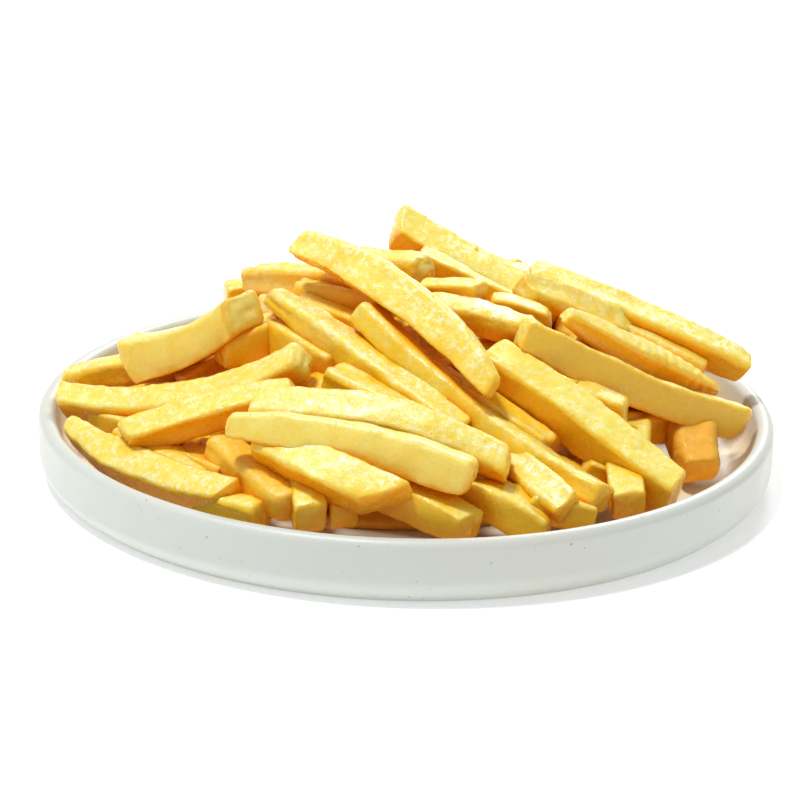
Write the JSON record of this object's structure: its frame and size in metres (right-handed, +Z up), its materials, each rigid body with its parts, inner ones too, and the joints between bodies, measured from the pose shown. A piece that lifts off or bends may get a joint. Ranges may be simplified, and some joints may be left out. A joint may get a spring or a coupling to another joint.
{
  "type": "french fries portion",
  "caption": "Heap of thick-cut french fries on a small round off-white plate with a low upright rim.",
  "frame": {"origin": "middle of the plate's foot, on the surface it stands on", "axes": "+Z up along the plate's axis, -Y towards the front of the heap as pictured, +X to its right"},
  "size_m": [0.2, 0.2, 0.0669],
  "materials": {
    "glaze": "semi-matt off-white ceramic glaze with fine dark speckles",
    "fried_potato": "pale yellow fried potato with finely blistered, slightly oily faces and golden edges"
  },
  "bodies": {
    "root": {"plate": "glaze", "fries": "fried_potato"}
  },
  "joints": []
}
